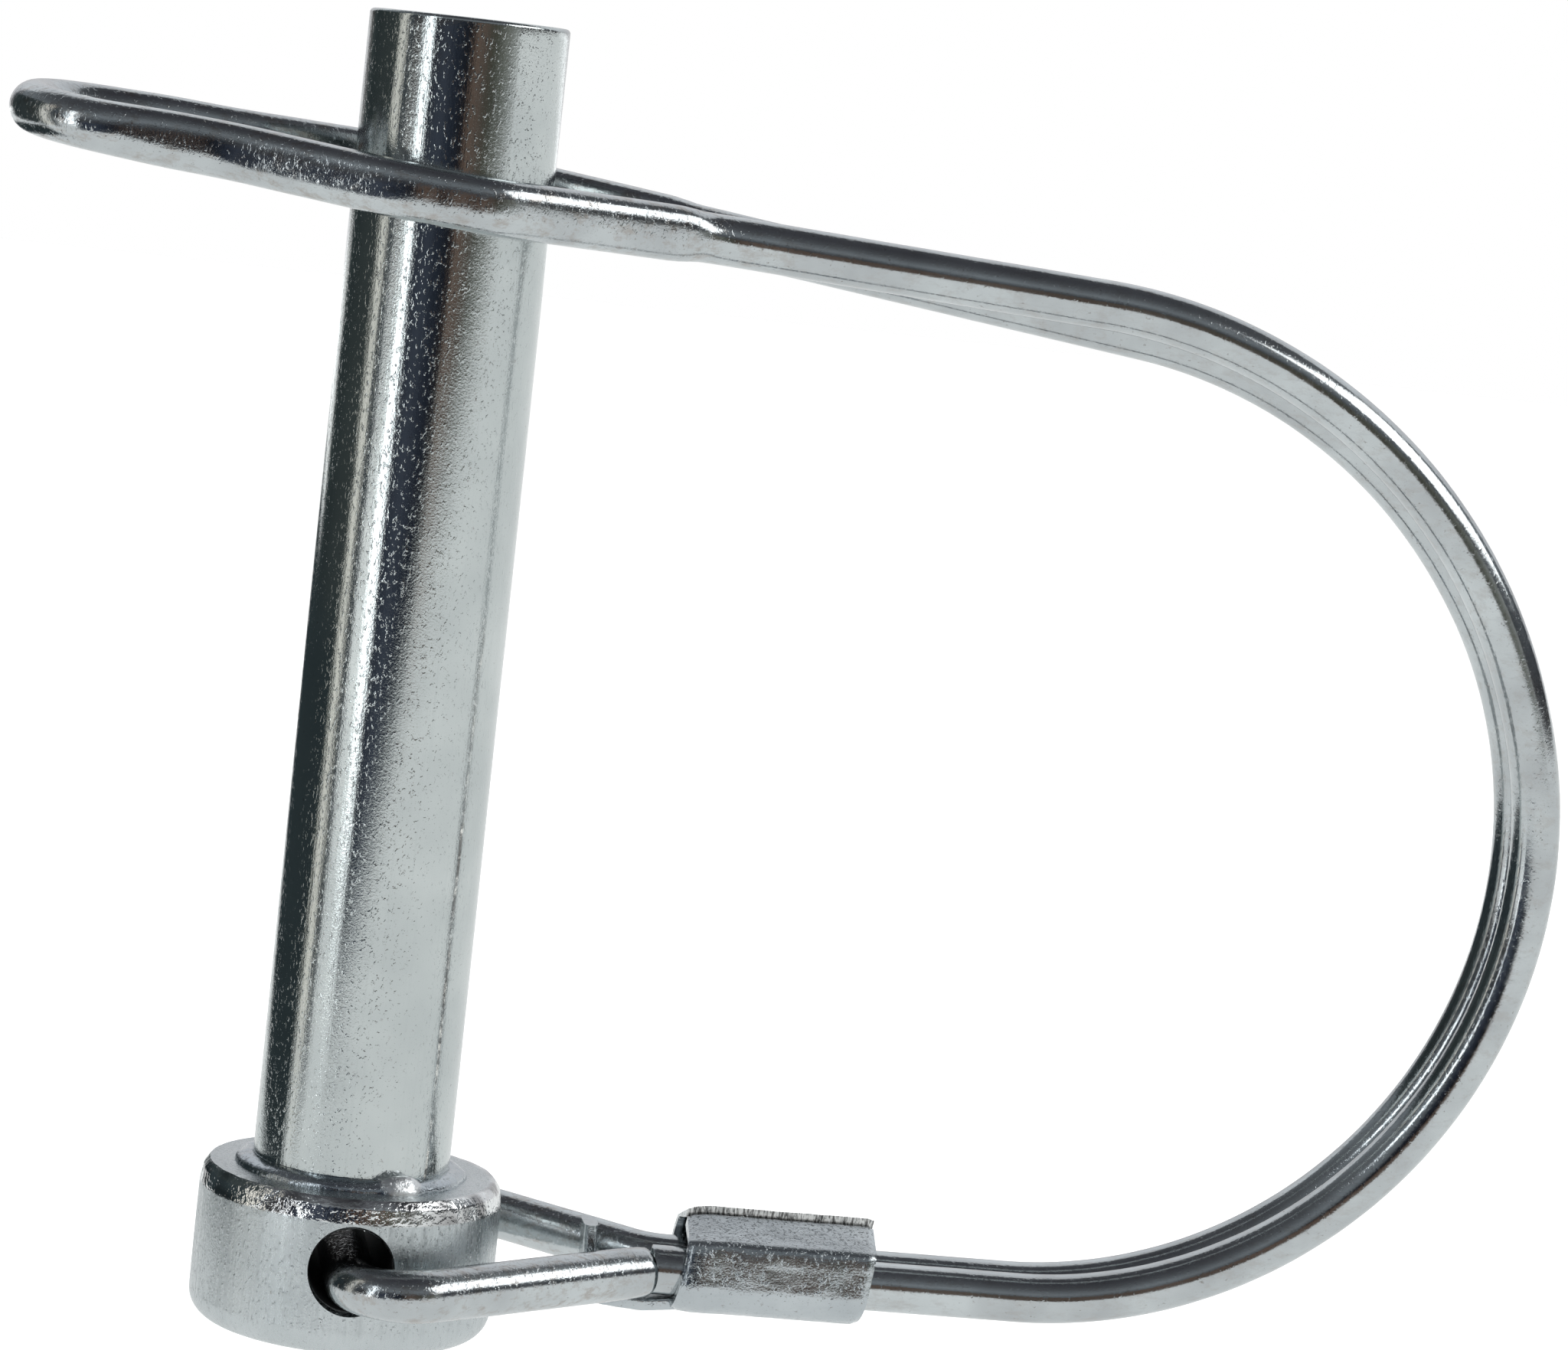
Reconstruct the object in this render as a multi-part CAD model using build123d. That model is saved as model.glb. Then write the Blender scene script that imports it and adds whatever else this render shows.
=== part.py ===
from build123d import *
import os
from math import cos, radians, sin

# Hitch pin with a spring wire lock, in millimetres.
# The origin is on the pin's axis at the head's bearing face. +Z runs along the shank to its free tip,
# +X points to the D-shaped wire bail, and Y is the axis of the cross hole that the bail swings in.

# Pin
PIN_DIAMETER = 9.525
SHANK_LENGTH = 55.4
TIP_ROUND = 0.35
HEAD_DIAMETER = 14.6
HEAD_HEIGHT = 7.65
HEAD_FACE_RADIUS = 6.95
HEAD_RIM_DROP = 1.05
HEAD_BOTTOM_ROUND = 1.3
BEAD_WIDTH = 0.9
BEAD_HEIGHT = 0.5
BEAD_DEPTH = 0.3
ROOT_RADIUS = 4.5
CROSS_HOLE_DIAMETER = 4.0
CROSS_HOLE_Z = -3.4

# Wire bail
WIRE_DIAMETER = 2.4
STRAND_Y = 1.24
PIVOT_Z = -4.0
ARM_CORNER_Y = 10.63
ARM_BEND_RADIUS = 1.8
LOWER_RUN_Z = -3.55
ARM_END_X = 15.0
ARM_SPLIT_X = 16.5
BUTT_END_X = 15.75
FRONT_ARM_END_Y = 1.6
BOW_CENTRE = (31.5, 19.5)
FLEX_ANGLE = 42.0
FLEX_RADIUS = 26.9

# Snap loop, which lies in a plane that leans a little
LOOP_Z_AT_AXIS = 47.5
LOOP_FALL_PER_X = 0.08
LOOP_RISE_PER_Y = 0.08
LOOP_START_X = 14.0
PINCH_X = 12.4
EYE_HALF_WIDTH = 6.6
EYE_NEAR_X = 1.5
EYE_FAR_X = -3.0
TAIL_START_X = -10.5
TAIL_HALF_WIDTH = 3.8
TAIL_END_X = -19.8

# Crimped clip
SHEET = 0.7
CLIP_START_X = 16.0
CLIP_END_X = 25.2
CLIP_PLAY = 0.03
CLIP_SHOULDER_Z = -1.9
CLIP_SEAM_Z = -0.62
CLIP_SEAM_HALF_GAP = 0.15
TONGUE_WIDTH = 2.3
TONGUE_Y = -0.1
TAB_X = 12.1
TAB_TOP_Z = -1.65

PIN_RADIUS = PIN_DIAMETER / 2
HEAD_RADIUS = HEAD_DIAMETER / 2
WIRE_RADIUS = WIRE_DIAMETER / 2

# Corners of the D in the XZ plane, with the radius of the bend at each
FRONT_BOW = {"top": (49.11, 44.28), "bottom": (65.95, LOWER_RUN_Z), "radii": (26.2, 23.3)}
BACK_BOW = {"top": (45.01, 42.61), "bottom": (78.77, LOWER_RUN_Z), "radii": (25.2, 23.3)}


def cross_drill():
    """The drill for the cross hole, longer than the head is wide."""
    drill = Cylinder(CROSS_HOLE_DIAMETER / 2, HEAD_DIAMETER + 4)
    return Pos(0, 0, CROSS_HOLE_Z) * Rot(X=90) * drill


def pin_shank():
    """The round shank, whose narrower root is welded into the head."""
    upright = (Align.CENTER, Align.CENTER, Align.MIN)
    shank = Pos(0, 0, BEAD_HEIGHT) * Cylinder(PIN_RADIUS, SHANK_LENGTH - BEAD_HEIGHT, align=upright)
    tip = shank.edges().filter_by(GeomType.CIRCLE).sort_by(Axis.Z)[-1]
    root = Pos(0, 0, -BEAD_DEPTH) * Cylinder(ROOT_RADIUS, BEAD_DEPTH + BEAD_HEIGHT, align=upright)
    return fillet(tip, TIP_ROUND) + root


def head_collar():
    """The head, with a worn upper rim, a rounded lower edge, the weld's seat and the cross hole."""
    seat_radius = PIN_RADIUS + BEAD_WIDTH
    rim_middle = (HEAD_RADIUS - 0.13, 0.36 * -HEAD_RIM_DROP)
    lower_start = (HEAD_RADIUS, HEAD_BOTTOM_ROUND - HEAD_HEIGHT)
    lower_end = (HEAD_RADIUS - HEAD_BOTTOM_ROUND, -HEAD_HEIGHT)
    outline = Polyline(
        lower_end,
        (0, -HEAD_HEIGHT),
        (0, -BEAD_DEPTH),
        (seat_radius, -BEAD_DEPTH),
        (seat_radius, 0),
        (HEAD_FACE_RADIUS, 0),
    )
    outline += ThreePointArc((HEAD_FACE_RADIUS, 0), rim_middle, (HEAD_RADIUS, -HEAD_RIM_DROP))
    outline += Line((HEAD_RADIUS, -HEAD_RIM_DROP), lower_start)
    outline += RadiusArc(lower_start, lower_end, HEAD_BOTTOM_ROUND)
    section = Plane.XZ * make_face(outline.edges())
    return revolve(section, Axis.Z) - cross_drill()


def weld_bead():
    """The raised ring of weld that joins the shank's root to the head."""
    outer = (PIN_RADIUS + BEAD_WIDTH, 0)
    top = (PIN_RADIUS, BEAD_HEIGHT)
    crown = (PIN_RADIUS + 0.62 * BEAD_WIDTH, 0.72 * BEAD_HEIGHT)
    outline = Polyline(
        top,
        (ROOT_RADIUS, BEAD_HEIGHT),
        (ROOT_RADIUS, -BEAD_DEPTH),
        (PIN_RADIUS + BEAD_WIDTH, -BEAD_DEPTH),
        outer,
    )
    outline += ThreePointArc(outer, crown, top)
    return revolve(Plane.XZ * make_face(outline.edges()), Axis.Z)


def wire_along(name, points, radii):
    """A length of round wire along straight runs joined by tangent bends."""
    path = FilletPolyline(*points, radius=radii)
    section = Plane(origin=path @ 0, z_dir=path % 0) * Circle(WIRE_RADIUS)
    wire = sweep(section, path=path)
    expected = section.area * path.length
    print(f"{name}: length {path.length:.2f} mm, volume {wire.volume:.2f} of {expected:.2f} mm3")
    return wire


def on_loop(x, y):
    """A point of the snap loop's plane."""
    return (x, y, LOOP_Z_AT_AXIS - LOOP_FALL_PER_X * x + LOOP_RISE_PER_Y * y)


def top_run_point(side, bow, x):
    """A point of the top run, between the pinch and the D's upper corner."""
    start = Vector(*on_loop(PINCH_X, side * STRAND_Y))
    corner_x, corner_z = bow["top"]
    share = (x - start.X) / (corner_x - start.X)
    return (x, side * STRAND_Y, start.Z + share * (corner_z - start.Z))


def bow_strand(name, side, bow, end_x):
    """One strand of the D, from the snap loop round to the clip."""
    y = side * STRAND_Y
    points = [
        top_run_point(side, bow, LOOP_START_X),
        (bow["top"][0], y, bow["top"][1]),
        (bow["bottom"][0], y, bow["bottom"][1]),
        (end_x, y, LOWER_RUN_Z),
    ]
    return wire_along(name, points, bow["radii"])


def flex_plane():
    """The cut across both strands at the D's upper shoulder, facing the snap loop."""
    along_radius = (cos(radians(FLEX_ANGLE)), sin(radians(FLEX_ANGLE)))
    hinge_x = BOW_CENTRE[0] + FLEX_RADIUS * along_radius[0]
    hinge_z = BOW_CENTRE[1] + FLEX_RADIUS * along_radius[1]
    return Plane(origin=(hinge_x, 0, hinge_z), x_dir=(0, 1, 0), z_dir=(-along_radius[1], 0, along_radius[0]))


def snap_loop():
    """The eye that closes round the shank, and the narrower tail beyond it."""
    half = [(PINCH_X, STRAND_Y), (EYE_NEAR_X, EYE_HALF_WIDTH), (EYE_FAR_X, EYE_HALF_WIDTH)]
    half += [(TAIL_START_X, TAIL_HALF_WIDTH), (TAIL_END_X, TAIL_HALF_WIDTH)]
    half_radii = [6.0, 3.0, 6.0, 8.0, TAIL_HALF_WIDTH - 0.01]
    points = [top_run_point(-1, FRONT_BOW, LOOP_START_X)]
    points += [on_loop(x, -y) for x, y in half]
    points += [on_loop(x, y) for x, y in reversed(half)]
    points.append(top_run_point(1, BACK_BOW, LOOP_START_X))
    return wire_along("wire_snap_loop", points, half_radii + half_radii[::-1])


def pivot_arm():
    """The wire from its butt end, through the cross hole and back into the clip."""
    points = [
        (ARM_END_X, -FRONT_ARM_END_Y, LOWER_RUN_Z),
        (0, -ARM_CORNER_Y, PIVOT_Z),
        (0, ARM_CORNER_Y, PIVOT_Z),
        (ARM_END_X, STRAND_Y, LOWER_RUN_Z),
        (ARM_SPLIT_X, STRAND_Y, LOWER_RUN_Z),
    ]
    return wire_along("wire_pivot_arm", points, [ARM_BEND_RADIUS, ARM_BEND_RADIUS, 3.0])


def clip_section():
    """The clip's closed band: a round bottom, straight sides and a roof that meets at a seam."""
    inner = WIRE_RADIUS + CLIP_PLAY
    outer = inner + SHEET
    z = LOWER_RUN_Z
    roof_rise = CLIP_SEAM_Z - CLIP_SHOULDER_Z
    roof_run = STRAND_Y + outer - CLIP_SEAM_HALF_GAP
    roof_slope = roof_rise / roof_run
    seam_inner_z = CLIP_SEAM_Z - SHEET * (1 + roof_slope**2) ** 0.5
    shoulder_inner_z = seam_inner_z - roof_slope * (STRAND_Y + inner - CLIP_SEAM_HALF_GAP)
    corner = 0.7071
    half = Line((0, z - outer), (STRAND_Y, z - outer))
    half += ThreePointArc(
        (STRAND_Y, z - outer), (STRAND_Y + corner * outer, z - corner * outer), (STRAND_Y + outer, z)
    )
    half += Polyline(
        (STRAND_Y + outer, z),
        (STRAND_Y + outer, CLIP_SHOULDER_Z),
        (CLIP_SEAM_HALF_GAP, CLIP_SEAM_Z),
        (CLIP_SEAM_HALF_GAP, seam_inner_z),
        (STRAND_Y + inner, shoulder_inner_z),
        (STRAND_Y + inner, z),
    )
    half += ThreePointArc(
        (STRAND_Y + inner, z), (STRAND_Y + corner * inner, z - corner * inner), (STRAND_Y, z - inner)
    )
    half += Polyline((STRAND_Y, z - inner), (0, z - inner), (0, z - outer))
    face = make_face(half.edges())
    return face + mirror(face, Plane.YZ)


def clip_tongue():
    """The tongue under the arms, whose end stands up as a tab between them."""
    floor_z = LOWER_RUN_Z - WIRE_RADIUS - CLIP_PLAY - SHEET / 2
    path = FilletPolyline(
        (CLIP_START_X + 1.0, TONGUE_Y, floor_z),
        (14.7, TONGUE_Y, floor_z - 0.25),
        (TAB_X + 0.7, TONGUE_Y, floor_z - 0.1),
        (TAB_X, TONGUE_Y, floor_z + 1.0),
        (TAB_X, TONGUE_Y, TAB_TOP_Z),
        radius=[1.5, 0.6, 0.9],
    )
    start = Plane(origin=path @ 0, x_dir=(0, 1, 0), z_dir=path % 0)
    return sweep(start * Rectangle(TONGUE_WIDTH, SHEET), path=path)


def crimp_clip():
    """The folded sheet clip that holds both strands, with its tongue."""
    band_plane = Plane(origin=(CLIP_START_X, 0, 0), x_dir=(0, 1, 0), z_dir=(1, 0, 0))
    band = extrude(band_plane * clip_section(), CLIP_END_X - CLIP_START_X)
    return band + clip_tongue()


def main():
    hinge = flex_plane().origin
    print(f"flex hinge at x {hinge.X:.3f}, z {hinge.Z:.3f}")
    front = bow_strand("front strand", -1, FRONT_BOW, BUTT_END_X)
    back = bow_strand("back strand", 1, BACK_BOW, ARM_SPLIT_X)
    nodes = {
        "pin_shank": pin_shank(),
        "head_collar": head_collar(),
        "weld_bead": weld_bead(),
        "wire_pivot_arm": pivot_arm(),
        "wire_lower_bow_front": front.split(flex_plane(), keep=Keep.BOTTOM),
        "wire_lower_bow_back": back.split(flex_plane(), keep=Keep.BOTTOM),
        "wire_upper_bow_front": front.split(flex_plane(), keep=Keep.TOP),
        "wire_upper_bow_back": back.split(flex_plane(), keep=Keep.TOP),
        "wire_snap_loop": snap_loop(),
        "crimp_clip": crimp_clip(),
    }
    os.makedirs("parts", exist_ok=True)
    for name, shape in nodes.items():
        export_step(shape, f"parts/{name}.step")


main()
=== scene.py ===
import math

import bmesh
import bpy
from mathutils import Matrix, Vector, noise


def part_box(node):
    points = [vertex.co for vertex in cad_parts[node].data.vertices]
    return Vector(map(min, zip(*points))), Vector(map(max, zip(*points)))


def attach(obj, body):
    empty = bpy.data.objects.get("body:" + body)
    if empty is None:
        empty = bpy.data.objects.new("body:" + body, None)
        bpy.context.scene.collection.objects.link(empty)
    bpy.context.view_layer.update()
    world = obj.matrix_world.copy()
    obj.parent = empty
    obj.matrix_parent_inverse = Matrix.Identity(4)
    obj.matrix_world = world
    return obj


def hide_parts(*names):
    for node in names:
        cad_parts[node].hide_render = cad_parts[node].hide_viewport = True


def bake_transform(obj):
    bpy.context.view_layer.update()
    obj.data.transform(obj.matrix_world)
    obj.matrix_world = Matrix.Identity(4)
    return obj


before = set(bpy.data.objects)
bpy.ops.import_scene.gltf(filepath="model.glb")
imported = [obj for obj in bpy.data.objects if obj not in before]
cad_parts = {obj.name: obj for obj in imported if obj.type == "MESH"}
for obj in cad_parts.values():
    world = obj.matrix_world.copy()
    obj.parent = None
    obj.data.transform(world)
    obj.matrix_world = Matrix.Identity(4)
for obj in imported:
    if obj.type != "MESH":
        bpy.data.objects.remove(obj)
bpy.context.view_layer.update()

MM = 0.001

# Pin
PIN_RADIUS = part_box("pin_shank")[1][0]
SHANK_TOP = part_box("pin_shank")[1][2]
TIP_ROUND = 0.22 * MM
HEAD_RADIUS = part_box("head_collar")[1][0]
HEAD_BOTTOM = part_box("head_collar")[0][2]
HEAD_FACE_RADIUS = 6.95 * MM
HEAD_RIM_DROP = 1.05 * MM
HEAD_BOTTOM_ROUND = 1.3 * MM
CROSS_HOLE_RADIUS = 2.0 * MM
CROSS_HOLE_Z = -3.4 * MM
BEAD_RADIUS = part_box("weld_bead")[1][0]
BEAD_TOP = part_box("weld_bead")[1][2]
WELD_LUMP = (2.05, -4.83, 0.55)
WELD_LUMP_ANGLE = math.radians(-67)
SCRATCH_X = 3.35
SCRATCH_TOP = 34.0

# Wire, in millimetres until it is swept
WIRE_RADIUS = 1.2
STRAND_Y = 1.24
PIVOT_Z = -4.0
BACK_CORNER_Z = -3.85
BACK_ARM_RISE = (5.2, 7.45, -2.75)
BACK_CORNER_Y = 10.52
FRONT_CORNER_Y = 11.2
ARM_END = (14.45, -1.93)
LOWER_RUN_Z = -3.55
BUTT_END_X = 14.95
LOOP_Z_AT_AXIS = 47.5
LOOP_FALL_PER_X = 0.08
LOOP_RISE_PER_Y = 0.08
FRONT_TOP = (49.11, 44.28)
FRONT_BOTTOM_X = 65.95
BACK_TOP = (45.01, 42.61)
BACK_BOTTOM_X = 78.77
LOOP_LOW_Z = 44.0

# Clip, in millimetres
SHEET = 0.7
CLIP_SLACK = 0.03
CLIP_START_X = 16.0
CLIP_END_X = 25.2

# Camera, floor and the table that the metal mirrors
CAMERA_PLACE = Vector((-17.9, -238.0, 52.3)) * MM
CAMERA_YAW = math.radians(8.66)
CAMERA_PITCH = math.radians(6.27)
CAMERA_ROLL = math.radians(6.46)
CAMERA_LENS = 115.1
FLOOR_Z = -78.0 * MM
TABLE_TILT = math.radians(6.6)
CENTRE = Vector((15.0, 0.0, 20.0)) * MM


def smooth(value):
    """An even rise from nought to one, level at both ends."""
    value = max(0.0, min(1.0, value))
    return value * value * (3 - 2 * value)


def window(value, low, high, edge):
    """One between low and high, falling to nought over a distance edge outside them."""
    return smooth((value - low + edge) / edge) * smooth((high + edge - value) / edge)


def lumps(point, scale, seed=0.0):
    """Smooth noise from -1 to 1, for a point in millimetres."""
    return noise.noise(Vector(point) / scale + Vector((seed, seed * 1.7, seed * 0.6)))


def new_piece(name, mesh_data, body, material, nodes):
    """A finished mesh as a piece that rides on a body and stands for CAD nodes."""
    for polygon in mesh_data.polygons:
        polygon.use_smooth = True
    piece = bpy.data.objects.new(name, mesh_data)
    bpy.context.scene.collection.objects.link(piece)
    piece.data.materials.append(material)
    if body:
        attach(piece, body)
    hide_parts(*nodes)
    return piece


def grid_mesh(name, rings, close_ends=True):
    """A mesh skinned over closed rings of points, all of one length."""
    count = len(rings[0])
    points = [point for ring in rings for point in ring]
    faces = []
    for i in range(len(rings) - 1):
        for j in range(count):
            k = (j + 1) % count
            faces.append((i * count + j, i * count + k, (i + 1) * count + k, (i + 1) * count + j))
    if close_ends:
        for first, flip in ((0, True), ((len(rings) - 1) * count, False)):
            ring = rings[0] if flip else rings[-1]
            centre = sum((Vector(point) for point in ring), Vector()) / count
            points.append(centre)
            hub = len(points) - 1
            for j in range(count):
                k = (j + 1) % count
                side = (hub, first + k, first + j) if flip else (hub, first + j, first + k)
                faces.append(side)
    mesh_data = bpy.data.meshes.new(name)
    mesh_data.from_pydata([tuple(point) for point in points], [], faces)
    mesh_data.update()
    return mesh_data


# ---------------------------------------------------------------- materials


def set_stops(ramp, stops):
    """Gives a colour ramp its stops, each a place from 0 to 1 and a colour."""
    elements = ramp.color_ramp.elements
    while len(elements) < len(stops):
        elements.new(0.5)
    for element, (place, colour) in zip(elements, stops):
        element.position = place
        element.color = (*colour, 1)


class Nodes:
    """A material's node tree, with short ways to add and join nodes."""

    def __init__(self, name):
        self.material = bpy.data.materials.new(name)
        self.material.use_nodes = True
        self.tree = self.material.node_tree
        self.shader = self.tree.nodes["Principled BSDF"]
        self.place = self.add("ShaderNodeTexCoord").outputs["Object"]

    def add(self, kind, **settings):
        """A new node of a kind, with its settings."""
        node = self.tree.nodes.new(kind)
        for name, value in settings.items():
            setattr(node, name, value)
        return node

    def link(self, source, target):
        """Joins an output socket to an input socket."""
        self.tree.links.new(source, target)

    def scaled(self, stretch, turn=(0, 0, 0)):
        """Object coordinates in millimetres times a stretch along each axis."""
        mapping = self.add("ShaderNodeMapping")
        mapping.inputs["Scale"].default_value = [s / MM for s in stretch]
        mapping.inputs["Rotation"].default_value = turn
        self.link(self.place, mapping.inputs["Vector"])
        return mapping.outputs["Vector"]

    def noise(self, stretch, detail=3.0, rough=0.55, turn=(0, 0, 0)):
        """Noise from 0 to 1, with about stretch features to the millimetre along each axis."""
        texture = self.add("ShaderNodeTexNoise")
        texture.inputs["Scale"].default_value = 1.0
        texture.inputs["Detail"].default_value = detail
        texture.inputs["Roughness"].default_value = rough
        self.link(self.scaled(stretch, turn), texture.inputs["Vector"])
        return texture.outputs["Fac"]

    def ramp(self, source, stops):
        """A colour for each value of the source, by its stops."""
        ramp = self.add("ShaderNodeValToRGB")
        set_stops(ramp, stops)
        self.link(source, ramp.inputs["Fac"])
        return ramp.outputs["Color"]

    def range(self, source, low, high, to_low, to_high):
        """The source carried from low..high to to_low..to_high, and held at those ends."""
        node = self.add("ShaderNodeMapRange")
        for name, value in (("From Min", low), ("From Max", high), ("To Min", to_low), ("To Max", to_high)):
            node.inputs[name].default_value = value
        self.link(source, node.inputs["Value"])
        return node.outputs["Result"]

    def mix(self, factor, first, second, blend="MIX"):
        """Two colours mixed. Each may be a socket or a colour."""
        node = self.add("ShaderNodeMix", data_type="RGBA", blend_type=blend)
        sockets = (node.inputs["Factor"], node.inputs[6], node.inputs[7])
        for socket, value in zip(sockets, (factor, first, second)):
            if isinstance(value, (int, float)):
                socket.default_value = value
            elif isinstance(value, tuple):
                socket.default_value = (*value, 1)
            else:
                self.link(value, socket)
        return node.outputs[2]

    def add_up(self, first, second, share):
        """first plus a share of second."""
        node = self.add("ShaderNodeMath", operation="MULTIPLY_ADD")
        self.link(second, node.inputs[0])
        node.inputs[1].default_value = share
        self.link(first, node.inputs[2])
        return node.outputs[0]

    def bump(self, height, distance, strength=1.0):
        """Tilts the shading by a height that stands for distance in millimetres."""
        node = self.add("ShaderNodeBump")
        node.inputs["Distance"].default_value = distance * MM
        node.inputs["Strength"].default_value = strength
        self.link(height, node.inputs["Height"])
        self.link(node.outputs["Normal"], self.shader.inputs["Normal"])


def zinc(name, bright, dull, roughness, grain_mm, streak, speck=(0.22, 0.20, 0.18), speck_share=0.0):
    """Bright zinc plating: faint clouds, drawn streaks, fine grain, shallow pits and sparse dark specks."""
    nodes = Nodes(name)
    nodes.shader.inputs["Metallic"].default_value = 1.0
    clouds = nodes.noise((0.22, 0.22, 0.22), detail=3.0)
    colour = nodes.ramp(clouds, [(0.30, dull), (0.70, bright)])
    streaks = nodes.noise(streak, detail=4.0, rough=0.6)
    colour = nodes.mix(nodes.range(streaks, 0.55, 0.75, 0.0, 0.30), colour, dull)
    specks = nodes.noise((4.2, 4.2, 4.2), detail=3.0, rough=0.65)
    speckled = nodes.range(specks, 0.67 - speck_share, 0.78 - speck_share, 0.0, 0.75)
    colour = nodes.mix(speckled, colour, speck)
    gloss = nodes.range(nodes.add_up(streaks, specks, 0.6), 0.6, 1.1, roughness * 0.8, roughness * 1.7)
    grain = nodes.noise((9.5, 9.5, 9.5), detail=3.0, rough=0.6)
    pits = nodes.range(nodes.noise((6.5, 6.5, 3.4), detail=2.0), 0.58, 0.70, 0.0, 1.0)
    height = nodes.add_up(streaks, pits, 1.3)
    height = nodes.add_up(height, grain, 1.0)
    nodes.colour, nodes.gloss, nodes.height, nodes.grain_mm = colour, gloss, height, grain_mm
    return nodes


def finished(nodes):
    """Joins the colour, gloss and grain that a finish has built up to its shader."""
    nodes.link(nodes.colour, nodes.shader.inputs["Base Color"])
    nodes.link(nodes.gloss, nodes.shader.inputs["Roughness"])
    nodes.bump(nodes.height, nodes.grain_mm)
    return nodes.material


def separate(nodes):
    """The x, y and z of the surface, in millimetres."""
    split = nodes.add("ShaderNodeSeparateXYZ")
    nodes.link(nodes.scaled((1, 1, 1)), split.inputs[0])
    return split.outputs


def axis_distance(nodes):
    """How far the surface is from the pin's axis, in millimetres."""
    flat = nodes.add("ShaderNodeVectorMath", operation="LENGTH")
    nodes.link(nodes.scaled((1, 1, 0)), flat.inputs[0])
    return flat.outputs["Value"]


def times(nodes, first, second):
    """The product of two values."""
    node = nodes.add("ShaderNodeMath", operation="MULTIPLY")
    nodes.link(first, node.inputs[0])
    nodes.link(second, node.inputs[1])
    return node.outputs[0]


def blend_values(nodes, mask, first, second):
    """first where the mask is nought and second where it is one."""
    node = nodes.add("ShaderNodeMix", data_type="FLOAT")
    nodes.link(mask, node.inputs["Factor"])
    for socket, value in ((node.inputs[2], first), (node.inputs[3], second)):
        if isinstance(value, (int, float)):
            socket.default_value = value
        else:
            nodes.link(value, socket)
    return node.outputs[0]


def shank_material():
    """The shank's plating, with one long dark scratch down its front right, flecked with painted glints."""
    bright, dull, speck = (0.60, 0.64, 0.635), (0.50, 0.54, 0.54), (0.33, 0.32, 0.31)
    nodes = zinc("zinc_pin", bright, dull, 0.08, 0.0052, (5.0, 5.0, 0.10), speck, speck_share=0.025)
    place = separate(nodes)
    wander = nodes.range(nodes.noise((0.05, 0.05, 0.25), detail=3.0), 0.3, 0.7, -0.06, 0.06)
    across = nodes.add_up(place["X"], wander, 1.0)
    left_side = nodes.range(across, SCRATCH_X - 0.09, SCRATCH_X - 0.04, 0.0, 1.0)
    right_side = nodes.range(across, SCRATCH_X + 0.10, SCRATCH_X + 0.03, 0.0, 1.0)
    scratch = times(nodes, left_side, right_side)
    scratch = times(nodes, scratch, nodes.range(place["Y"], 0.1, -0.1, 0.0, 1.0))
    scratch = times(nodes, scratch, nodes.range(place["Z"], SCRATCH_TOP, SCRATCH_TOP - 8.0, 0.0, 1.0))
    # The scratch's own dark line, flecked with painted glints: near-white colour that stands in for
    # highlights along the scratch.
    dark, painted_glint = (0.16, 0.15, 0.14), (0.98, 0.96, 0.90)
    scratch_dark_and_painted_glints = nodes.ramp(nodes.noise((1.0, 1.0, 2.2), detail=3.0), [(0.44, dark), (0.56, painted_glint)])
    scratch = times(nodes, scratch, nodes.range(nodes.noise((0.2, 0.2, 0.35)), 0.40, 0.60, 0.0, 0.75))
    nodes.colour = nodes.mix(scratch, nodes.colour, scratch_dark_and_painted_glints)
    return finished(nodes)


def head_material():
    """Satin side with drawn streaks, a bright hammered rim, and painted shade in the cross hole: its inside
    coloured near-black, dull and not metal.
    """
    bright, dull = (0.60, 0.64, 0.65), (0.50, 0.54, 0.55)
    nodes = zinc("zinc_head", bright, dull, 0.24, 0.012, (5.0, 5.0, 0.12))
    outward = axis_distance(nodes)
    height = separate(nodes)["Z"]
    above_side = nodes.range(height, -1.16, -1.06, 0.0, 1.0)
    rim = times(nodes, above_side, nodes.range(outward, 6.7, 6.95, 0.0, 1.0))
    hammered = nodes.noise((4.0, 4.0, 4.0), detail=2.0, rough=0.5)
    patches = nodes.noise((0.55, 0.55, 0.55), detail=1.0)
    nodes.gloss = blend_values(nodes, rim, nodes.gloss, 0.10)
    rough_rim = nodes.range(hammered, 0.3, 0.7, 0.0, 1.7)
    nodes.height = blend_values(nodes, rim, nodes.height, rough_rim)
    patched = nodes.range(patches, 0.42, 0.58, 0.0, 1.0)
    hammered_tint = nodes.mix(patched, (0.36, 0.36, 0.36), (0.84, 0.86, 0.86))
    nodes.colour = nodes.mix(rim, nodes.colour, hammered_tint)
    # Painted shade: inside the cross hole the colour is near-black, dull and not metal, standing in for the
    # shade that falls in the hole.
    inside = nodes.range(outward, 7.0, 6.8, 0.0, 1.0)
    painted_hole_shade = times(nodes, inside, nodes.range(height, -1.25, -1.4, 0.0, 1.0))
    painted_hole_shade = times(nodes, painted_hole_shade, nodes.range(height, -5.6, -5.4, 0.0, 1.0))
    nodes.colour = nodes.mix(painted_hole_shade, nodes.colour, (0.012, 0.013, 0.014))
    nodes.gloss = blend_values(nodes, painted_hole_shade, nodes.gloss, 0.9)
    nodes.link(blend_values(nodes, painted_hole_shade, 1.0, 0.0), nodes.shader.inputs["Metallic"])
    return finished(nodes)


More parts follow.
